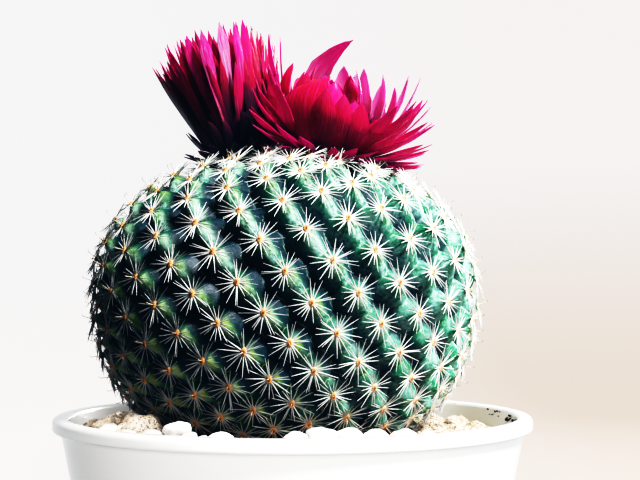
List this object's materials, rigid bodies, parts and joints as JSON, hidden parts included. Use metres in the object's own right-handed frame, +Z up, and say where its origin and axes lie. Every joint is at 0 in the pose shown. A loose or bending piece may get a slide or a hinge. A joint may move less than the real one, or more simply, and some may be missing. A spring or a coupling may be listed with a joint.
{
  "type": "potted round cactus",
  "caption": "Round spiny cactus with spiral tubercles and crimson flower heads on its crown, in a tapered white ceramic pot with pebble top dressing.",
  "frame": {"origin": "middle of the underside of the pot's foot ring, on the surface that the pot stands on", "axes": "+Z up along the pot's axis; -Y is the front that the picture shows, with +X to its right"},
  "size_m": [0.105, 0.105, 0.1766],
  "materials": {
    "glazed_pot": "glossy white glaze",
    "potting_soil": "dark crumbly soil",
    "top_dressing": "tan gravel with matt stones and white pebbles",
    "cactus_skin": "waxy green skin, white spines from orange and cream areoles",
    "flower_bracts": "papery crimson bracts, thin enough to glow in the light"
  },
  "bodies": {
    "root": {"pot": "glazed_pot", "soil": "potting_soil", "gravel": "top_dressing", "cactus": "cactus_skin", "flower_left": "flower_bracts", "flower_right": "flower_bracts"}
  },
  "joints": []
}
